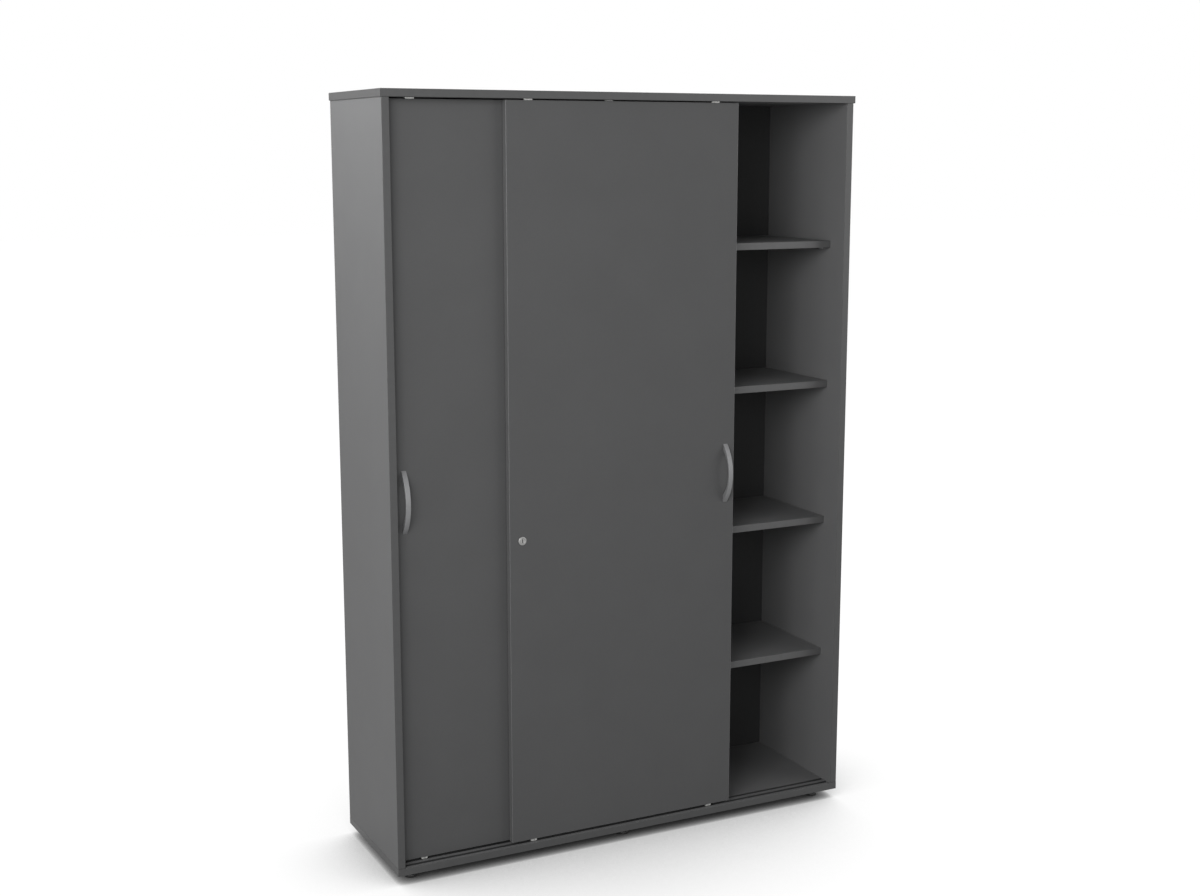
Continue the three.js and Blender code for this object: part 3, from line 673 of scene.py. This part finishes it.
def build_runner(label, end):
    """A roller housing with its nose and slot, the wheel and its axle."""
    tag = f"{label}_{end}"
    body = f"{label}_door"
    low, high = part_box(f"roller_housing_{tag}")
    wheel_low, wheel_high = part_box(f"roller_{tag}")
    door_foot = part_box(f"door_panel_{label}")[0].z
    centre = (wheel_low + wheel_high) / 2
    radius = (wheel_high.x - wheel_low.x) / 2
    half = (wheel_high.y - wheel_low.y) / 2
    nose_left, nose_right = (low.x + high.x) / 2 - NOSE_HALF, (low.x + high.x) / 2 + NOSE_HALF
    round_z = low.z + NOSE_CORNER
    outline = [(low.x, high.z), (low.x, door_foot), (nose_left, door_foot)]
    outline += arc((nose_left + NOSE_CORNER, round_z), NOSE_CORNER, 180, 270, NOSE_STEPS)
    outline += arc((nose_right - NOSE_CORNER, round_z), NOSE_CORNER, 270, 360, NOSE_STEPS)
    outline += [(nose_right, door_foot), (high.x, door_foot), (high.x, high.z)]
    bm = bmesh.new()
    soften(bm, add_prism(bm, outline, (X, Z, Y), low.y, high.y), HOUSING_ROUNDING, steps=2)
    room = round_cut(Y, centre, radius + WHEEL_PLAY, -half - FIT, half + FIT, WHEEL_SEGMENTS)
    bore = round_cut(Y, centre, AXLE_BORE, -AXLE_BORE_REACH, AXLE_BORE_REACH, AXLE_BORE_SEGMENTS)
    add_piece(f"runner_housing_{tag}", bm, [nylon_grey], body, [f"roller_housing_{tag}"],
              [[room], [bore]])

    bm = bmesh.new()
    add_lathe(bm, wheel_profile(radius, half), Y, centre, WHEEL_SEGMENTS)
    add_piece(f"wheel_{tag}", bm, [nylon_grey], f"wheel_{tag}", [f"roller_{tag}"])

    axle_low, axle_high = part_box(f"roller_axle_{tag}")
    reach = (axle_high.y - axle_low.y) / 2
    pin = (axle_high.x - axle_low.x) / 2
    face, shoulder = pin - AXLE_CHAMFER, reach - AXLE_CHAMFER
    profile = [(0, -reach), (face, -reach), (pin, -shoulder), (pin, shoulder), (face, reach), (0, reach)]
    bm = bmesh.new()
    add_lathe(bm, profile, Y, (axle_low + axle_high) / 2, PIN_SEGMENTS)
    add_piece(f"axle_{tag}", bm, [zinc_steel], body, [f"roller_axle_{tag}"])


# The guide: the neck of its tongue, the shoulder that holds it, and the room below
NECK_HALF = 10 * MM
SHOULDER_DEPTH = 7 * MM
ROOM_FLOOR = 2 * MM
CUT_OVERLAP = 1 * MM
TONGUE_CHAMFER = 2.5 * MM
TONGUE_ROUNDING = 0.4 * MM

SPRING_WIRE = 0.4 * MM
SPRING_TURNS = 5
SPRING_STEPS = 28
SPRING_SIDES = 10


def build_guide(label, end):
    """A sprung top guide: housing, tongue and coil spring."""
    tag = f"{label}_{end}"
    body = f"{label}_door"
    low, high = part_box(f"guide_housing_{tag}")
    tongue_low, tongue_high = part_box(f"guide_tongue_{tag}")
    middle = (low + high) / 2
    shoulder = high.z - SHOULDER_DEPTH
    neck_left, neck_right = middle.x - NECK_HALF, middle.x + NECK_HALF
    slot_half = (tongue_high.y - tongue_low.y) / 2 + FIT
    slot_front, slot_rear = middle.y - slot_half, middle.y + slot_half
    bm = bmesh.new()
    soften(bm, add_box(bm, low, high), HOUSING_ROUNDING, steps=2)
    neck = box_cut((neck_left - FIT, slot_front, shoulder - CUT_OVERLAP),
                   (neck_right + FIT, slot_rear, high.z + PAST))
    room = box_cut((tongue_low.x - FIT, slot_front, low.z + ROOM_FLOOR),
                   (tongue_high.x + FIT, slot_rear, shoulder))
    add_piece(f"guide_body_{tag}", bm, [nylon_white], body, [f"guide_housing_{tag}"],
              [[neck], [room]])

    foot, tip, step = tongue_low.z, tongue_high.z, shoulder - FIT
    chamfer = TONGUE_CHAMFER
    outline = [
        (tongue_low.x, foot), (tongue_high.x, foot), (tongue_high.x, step), (neck_right, step),
        (neck_right, tip - chamfer), (neck_right - chamfer, tip), (neck_left + chamfer, tip),
        (neck_left, tip - chamfer), (neck_left, step), (tongue_low.x, step),
    ]
    bm = bmesh.new()
    made = add_prism(bm, outline, (X, Z, Y), tongue_low.y, tongue_high.y)
    soften(bm, made, TONGUE_ROUNDING, steps=2)
    add_piece(f"tongue_{tag}", bm, [nylon_white], f"tongue_{tag}", [f"guide_tongue_{tag}"])

    spring_low, spring_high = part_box(f"guide_spring_{tag}")
    coil = (spring_high.x - spring_low.x) / 2 - SPRING_WIRE
    middle = (spring_low + spring_high) / 2
    rise = spring_high.z - spring_low.z - 2 * SPRING_WIRE
    steps = SPRING_TURNS * SPRING_STEPS
    line = []
    for i in range(steps + 1):
        share = i / steps
        angle = share * SPRING_TURNS * 2 * math.pi
        line.append(Vector((
            middle.x + coil * math.cos(angle),
            middle.y + coil * math.sin(angle),
            spring_low.z + SPRING_WIRE + share * rise)))
    bm = bmesh.new()
    add_tube(bm, line, SPRING_WIRE, SPRING_SIDES)
    spring = add_piece(
        f"spring_{tag}", bm, [spring_steel], body, [f"guide_spring_{tag}"], even=False)
    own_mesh(spring)


# Handles and screws

HANDLE_FOOT = 19 * MM
HANDLE_THICKNESS = 4.5 * MM
HANDLE_ROUNDING = 0.9 * MM
BOW_OUTER_STEPS = 64
BOW_INNER_STEPS = 48


def build_handle(label):
    """A cast bow handle: two arcs that end in solid feet, with softened edges."""
    low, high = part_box(f"handle_{label}")
    door_plane = high.y
    centre_z = (low.z + high.z) / 2

    def bow(half, rise):
        """The radius, half angle and centre of an arc that stands on the door."""
        radius = (half ** 2 + rise ** 2) / (2 * rise)
        return radius, math.degrees(math.asin(half / radius)), (door_plane + radius - rise, centre_z)

    projection = high.y - low.y
    half = (high.z - low.z) / 2
    outer_radius, outer_angle, outer_centre = bow(half, projection)
    inner_radius, inner_angle, inner_centre = bow(half - HANDLE_FOOT, projection - HANDLE_THICKNESS)
    outline = arc(outer_centre, outer_radius, 180 + outer_angle, 180 - outer_angle, BOW_OUTER_STEPS)
    outline += arc(inner_centre, inner_radius, 180 - inner_angle, 180 + inner_angle, BOW_INNER_STEPS)
    bm = bmesh.new()
    soften(bm, add_prism(bm, outline, (Y, Z, X), low.x, high.x), HANDLE_ROUNDING, steps=4)
    add_piece(f"bow_handle_{label}", bm, [handle_silver], f"{label}_door", [f"handle_{label}"])


# The screw: pan head with a cross recess, shank and thread
HEAD_RADIUS = 4 * MM
HEAD_HEIGHT = 2.4 * MM
HEAD_EDGE = 0.5 * MM
SHANK = 2 * MM
SHANK_TIP = 1.6 * MM
SCREW_PITCH = 0.7 * MM
SCREW_THREAD_DEPTH = 0.3 * MM
SCREW_THREAD_START = 0.6 * MM
SCREW_PLAIN_END = 3 * MM
RECESS_ARM = 2.2 * MM
RECESS_HALF = 0.42 * MM
RECESS_DEPTH = 1.3 * MM


def build_screw(label, place):
    """A pan-head screw with a cross recess and a thread."""
    node = f"handle_screw_{label}_{place}"
    low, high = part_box(node)
    x, z = (low.x + high.x) / 2, (low.z + high.z) / 2
    top = high.y
    under = top - HEAD_HEIGHT
    profile = [(0, low.y), (SHANK_TIP, low.y)]
    y = low.y + SCREW_THREAD_START
    while y + SCREW_PITCH < under - SCREW_PLAIN_END:
        profile += [(SHANK, y), (SHANK - SCREW_THREAD_DEPTH, y + SCREW_PITCH / 2)]
        y += SCREW_PITCH
    profile += [(SHANK, y), (SHANK, under), (HEAD_RADIUS, under)]
    for degrees in range(0, 90, 10):
        angle = math.radians(degrees)
        rise = HEAD_EDGE + (HEAD_HEIGHT - HEAD_EDGE) * math.sin(angle)
        profile.append((HEAD_RADIUS * math.cos(angle), under + rise))
    profile.append((0, top))
    bm = bmesh.new()
    add_lathe(bm, profile, Y, (x, 0, z), BORE_SEGMENTS)
    floor, past = top - RECESS_DEPTH, top + PAST
    recess = [[box_cut((x - arm, floor, z - wing), (x + arm, past, z + wing))]
              for arm, wing in ((RECESS_ARM, RECESS_HALF), (RECESS_HALF, RECESS_ARM))]
    add_piece(f"screw_{label}_{place}", bm, [zinc_steel], f"{label}_door", [node],
              recess, even=False)


# Lock

BARREL_RADIUS = 9 * MM
ROSETTE_BEVEL = 1.1 * MM
MOUTH_CHAMFER = 0.25 * MM
PLUG_CHAMFER = 0.35 * MM
KEYWAY_HALF_HEIGHT = 4.5 * MM
KEYWAY_HALF_WIDTH = 1.0 * MM
KEYWAY_DEPTH = 6 * MM
BOLT_EDGE = 0.8 * MM
BOLT_SEGMENTS = 48


def build_lock():
    """The barrel with its bevelled rosette, the core with its keyway, and the bolt."""
    low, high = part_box("lock_barrel")
    core_low, core_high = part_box("lock_core")
    bolt_low, bolt_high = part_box("lock_bolt")
    door_low, door_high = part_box("door_panel_front")
    centre = Vector(((core_low.x + core_high.x) / 2, 0, (core_low.z + core_high.z) / 2))
    core_radius = (core_high.x - core_low.x) / 2
    bolt_radius = (bolt_high.x - bolt_low.x) / 2

    rosette, front = (high.x - low.x) / 2, low.y
    bore, bolt_bore = core_radius + FIT, bolt_radius + FIT
    step = core_high.y + FIT
    profile = [(bore, front + MOUTH_CHAMFER), (bore + MOUTH_CHAMFER, front)]
    profile += arc((rosette - ROSETTE_BEVEL, front + ROSETTE_BEVEL), ROSETTE_BEVEL, -90, 0, steps=6)
    profile += [
        (rosette, door_low.y), (BARREL_RADIUS, door_low.y), (BARREL_RADIUS, door_high.y),
        (bolt_bore, door_high.y), (bolt_bore, step), (bore, step), (bore, front + MOUTH_CHAMFER),
    ]
    bm = bmesh.new()
    add_lathe(bm, profile, Y, centre, TURNED_SEGMENTS)
    add_piece("lock_rosette", bm, [lock_nickel], "front_door", ["lock_barrel"])

    face = core_low.y
    profile = [
        (0, face), (core_radius - PLUG_CHAMFER, face), (core_radius, face + PLUG_CHAMFER),
        (core_radius, core_high.y), (0, core_high.y),
    ]
    bm = bmesh.new()
    add_lathe(bm, profile, Y, centre, TURNED_SEGMENTS)
    keyway = box_cut((centre.x - KEYWAY_HALF_WIDTH, face - PAST, centre.z - KEYWAY_HALF_HEIGHT),
                     (centre.x + KEYWAY_HALF_WIDTH, face + KEYWAY_DEPTH, centre.z + KEYWAY_HALF_HEIGHT),
                     slot=1)
    add_piece("lock_plug", bm, [lock_nickel, lock_inside], "core", ["lock_core"], [[keyway]])

    turn = 0.3 * BOLT_EDGE
    profile = [
        (0, bolt_low.y), (bolt_radius, bolt_low.y), (bolt_radius, bolt_high.y - BOLT_EDGE),
        (bolt_radius - turn, bolt_high.y - turn), (bolt_radius - BOLT_EDGE, bolt_high.y),
        (0, bolt_high.y),
    ]
    bm = bmesh.new()
    add_lathe(bm, profile, Y, centre, BOLT_SEGMENTS)
    add_piece("lock_pin", bm, [zinc_steel], "front_door", ["lock_bolt"])


# Levelling feet

PAD_HEIGHT = 8 * MM
PAD_EDGE = 1.5 * MM
PAD_FLUTES = 18
FLUTE_SIDES = 6
FLUTE_DEPTH = 0.45 * MM
COLLAR_LOW = 6.4 * MM
COLLAR_HIGH = 4.3 * MM
COLLAR_FILLET = 0.6 * MM
COLLAR_HEIGHT = 3 * MM
SPINDLE = 4 * MM
SPINDLE_ROOT = 3.35 * MM
SPINDLE_TIP = 3 * MM
SPINDLE_PITCH = 1.25 * MM
SPINDLE_SUNK = 0.5 * MM
SPINDLE_PLAIN_END = 0.8 * MM
SPINDLE_CHAMFER = 0.3 * MM


def add_pad(bm, pad, centre):
    """The fluted pad of a foot with its conical collar."""
    turn = 0.4 * PAD_EDGE
    fall = 0.3 * PAD_EDGE
    levels = [
        (0, 0), (pad - PAD_EDGE, 0), (pad - turn, fall), (pad, PAD_EDGE), (pad, PAD_HEIGHT - PAD_EDGE),
        (pad - turn, PAD_HEIGHT - fall), (pad - PAD_EDGE, PAD_HEIGHT),
        (COLLAR_LOW + COLLAR_FILLET, PAD_HEIGHT), (COLLAR_LOW, PAD_HEIGHT + COLLAR_FILLET),
        (COLLAR_HIGH, PAD_HEIGHT + COLLAR_HEIGHT), (0, PAD_HEIGHT + COLLAR_HEIGHT),
    ]
    add_lathe(bm, levels, Z, centre, PAD_FLUTES * FLUTE_SIDES)
    for vertex in bm.verts:
        offset = Vector((vertex.co.x - centre.x, vertex.co.y - centre.y))
        if offset.length > pad - 0.9 * PAD_EDGE:
            angle = math.atan2(offset.y, offset.x)
            draw = FLUTE_DEPTH * (0.5 - 0.5 * math.cos(angle * PAD_FLUTES)) ** 2
            shorter = offset * (1 - draw / offset.length)
            vertex.co.x = centre.x + shorter.x
            vertex.co.y = centre.y + shorter.y


def build_foot(row, column):
    """A levelling foot: a fluted pad with a collar, on a threaded spindle."""
    node = f"foot_{row}_{column}"
    low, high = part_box(node)
    centre = Vector(((low.x + high.x) / 2, (low.y + high.y) / 2, 0))
    bm = bmesh.new()
    add_pad(bm, (high.x - low.x) / 2, centre)
    z = PAD_HEIGHT + COLLAR_HEIGHT
    profile = [(0, z - SPINDLE_SUNK), (SPINDLE_ROOT, z - SPINDLE_SUNK)]
    while z + SPINDLE_PITCH < high.z - SPINDLE_PLAIN_END:
        crest = (z + 0.45 * SPINDLE_PITCH, z + 0.55 * SPINDLE_PITCH)
        profile += [(SPINDLE_ROOT, z), (SPINDLE, crest[0]), (SPINDLE, crest[1])]
        z += SPINDLE_PITCH
    profile += [
        (SPINDLE_ROOT, z), (SPINDLE_ROOT, high.z - SPINDLE_CHAMFER), (SPINDLE_TIP, high.z), (0, high.z),
    ]
    add_lathe(bm, profile, Z, centre, PIN_SEGMENTS, slot=1)
    add_piece(f"levelling_foot_{row}_{column}", bm, [foot_black, zinc_steel],
              f"levelling_{row}_{column}", [node])


build_carcass()
build_shelves()
build_supports()
for door, locked in (("rear", False), ("front", True)):
    build_door(door, locked)
    build_handle(door)
    for spot in ("lower", "upper"):
        build_screw(door, spot)
    for end in ("left", "right"):
        build_runner(door, end)
        build_guide(door, end)
build_lock()
for row in ("front", "rear"):
    for column in ("left", "middle", "right"):
        build_foot(row, column)

# Solids that stay as they are get their own materials.
for node, material in (
    ("back_panel", back_face_dark_and_shaded),
    ("bottom_track_front", track_black_and_joint_shade),
    ("bottom_track_rear", track_black_and_joint_shade),
    ("top_track_front", track_black_and_joint_shade),
    ("top_track_rear", track_black_and_joint_shade),
):
    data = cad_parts[node].data
    data.materials.clear()
    data.materials.append(material)


# Studio

FLOOR_HALF = 30.0
FLOOR_BOUNCE = (0.2, 0.2, 0.2)
FLOOR_CAST = (0.05, 0.05, 0.05)

# How far the cabinet's painted shadow on the floor reaches, and the floor's tone for each share of open sky
SHADOW_REACH = 1.1
SHADOW_SAMPLES = 16
SHADOW_TONES = [
    (0.0, 0.0), (0.08, 0.01), (0.15, 0.066), (0.25, 0.15), (0.35, 0.237), (0.42, 0.33),
    (0.5, 0.51), (0.58, 0.67), (0.66, 0.8), (0.75, 0.905), (0.84, 0.975), (0.92, 1.0), (1.0, 1.0),
]
WORLD_LIGHT = 0.15

# Each lamp: its name, place and aim, its size in metres and its watts
LAMPS = (
    ("low_left_softbox", (-5.22, -2.77, 1.94), (0, 0, 0.95), 3.0, 101),
    ("high_left_softbox", (-2.46, -1.11, 3.34), (-0.2, 0, 1.1), 1.6, 9),
    ("front_softbox", (-1.9, -4.6, 1.6), (0.3, 0, 1.0), 3.0, 95),
    ("near_front_softbox", (-2.4, -2.6, 2.4), (0.4, 0, 1.2), 1.5, 84),
    ("near_left_softbox", (-1.3, 0.05, 2.25), (-0.625, 0, 1.7), 0.6, 11),
    ("front_right_softbox", (4.44, -3.73, 2.45), (0, 0, 0.95), 4.0, 126),
    ("rear_softbox", (2.5, 5.0, 3.0), (0, 0, 0.9), 3.0, 200),
    ("right_softbox", (5.0, 1.2, 2.6), (0.6, 0, 0.9), 2.5, 110),
)

LENS = 50.05
SENSOR_WIDTH = 36.0
CAMERA_PLACE = (-1.8693, -3.7122, 1.7267)
CAMERA_TILT = 79.87
CAMERA_TURN = -26.68


def camera_only(nodes, links):
    """1 where the camera looks straight, through a mirror image or through something clear."""
    path = nodes.new("ShaderNodeLightPath")
    seen = path.outputs["Is Camera Ray"]
    for ray in ("Is Glossy Ray", "Is Transmission Ray"):
        either = nodes.new("ShaderNodeMath")
        either.operation = "MAXIMUM"
        links.new(seen, either.inputs[0])
        links.new(path.outputs[ray], either.inputs[1])
        seen = either.outputs[0]
    return seen


def build_floor():
    """A pale floor that is white as the background far out, with a soft painted shadow near the cabinet,
    drawn from how much open sky each spot sees.
    """
    material, nodes, links, shader = new_material("studio_floor")
    nodes.remove(shader)
    bounce = nodes.new("ShaderNodeBsdfDiffuse")
    bounce.inputs["Color"].default_value = (*FLOOR_BOUNCE, 1)
    cast = nodes.new("ShaderNodeBsdfDiffuse")
    cast.inputs["Color"].default_value = (*FLOOR_CAST, 1)
    open_sky = nodes.new("ShaderNodeAmbientOcclusion")
    open_sky.samples = SHADOW_SAMPLES
    open_sky.inputs["Distance"].default_value = SHADOW_REACH
    tone = nodes.new("ShaderNodeValToRGB")
    steps = tone.color_ramp.elements
    for share, value in SHADOW_TONES:
        step = steps[0] if share == 0 else steps[-1] if share == 1 else steps.new(share)
        step.color = (value, value, value, 1)
    links.new(open_sky.outputs["AO"], tone.inputs["Fac"])
    # The floor glows with a painted shadow: its tone follows the open sky, and it is white where the sky is
    # open.
    white = nodes.new("ShaderNodeEmission")
    links.new(tone.outputs["Color"], white.inputs["Color"])
    seen = nodes.new("ShaderNodeAddShader")
    links.new(white.outputs["Emission"], seen.inputs[0])
    links.new(cast.outputs["BSDF"], seen.inputs[1])
    mix = nodes.new("ShaderNodeMixShader")
    links.new(camera_only(nodes, links), mix.inputs["Fac"])
    links.new(bounce.outputs["BSDF"], mix.inputs[1])
    links.new(seen.outputs["Shader"], mix.inputs[2])
    links.new(mix.outputs["Shader"], nodes["Material Output"].inputs["Surface"])
    bm = bmesh.new()
    corners = ((-1, -1), (1, -1), (1, 1), (-1, 1))
    bm.faces.new([bm.verts.new((x * FLOOR_HALF, y * FLOOR_HALF, 0)) for x, y in corners])
    make_object("studio_floor", bm, [material], smooth=False)


def build_world():
    """Soft light from all round, and a white background."""
    world = bpy.data.worlds.new("studio_world")
    bpy.context.scene.world = world
    world.use_nodes = True
    nodes, links = world.node_tree.nodes, world.node_tree.links
    background = nodes["Background"]
    background.inputs["Color"].default_value = (1, 1, 1, 1)
    lit = nodes.new("ShaderNodeMix")
    lit.data_type = "FLOAT"
    lit.inputs["A"].default_value = WORLD_LIGHT
    lit.inputs["B"].default_value = 1.0
    links.new(camera_only(nodes, links), lit.inputs["Factor"])
    links.new(lit.outputs["Result"], background.inputs["Strength"])


def add_lamp(name, place, aim, size, watts):
    """A square soft light aimed at a point."""
    data = bpy.data.lights.new(name, "AREA")
    data.shape = "SQUARE"
    data.size = size
    data.energy = watts
    light = bpy.data.objects.new(name, data)
    bpy.context.scene.collection.objects.link(light)
    light.location = place
    light.rotation_euler = (Vector(aim) - Vector(place)).to_track_quat("-Z", "Y").to_euler()
    light.visible_camera = False


def build_camera():
    """The camera looks at the cabinet from its front left, a little above the middle."""
    data = bpy.data.cameras.new("camera")
    data.lens = LENS
    data.sensor_width = SENSOR_WIDTH
    camera = bpy.data.objects.new("camera", data)
    bpy.context.scene.collection.objects.link(camera)
    camera.location = CAMERA_PLACE
    camera.rotation_euler = (math.radians(CAMERA_TILT), 0, math.radians(CAMERA_TURN))
    bpy.context.scene.camera = camera


build_floor()
build_world()
for lamp in LAMPS:
    add_lamp(*lamp)
build_camera()
bpy.context.scene.view_settings.view_transform = "Standard"
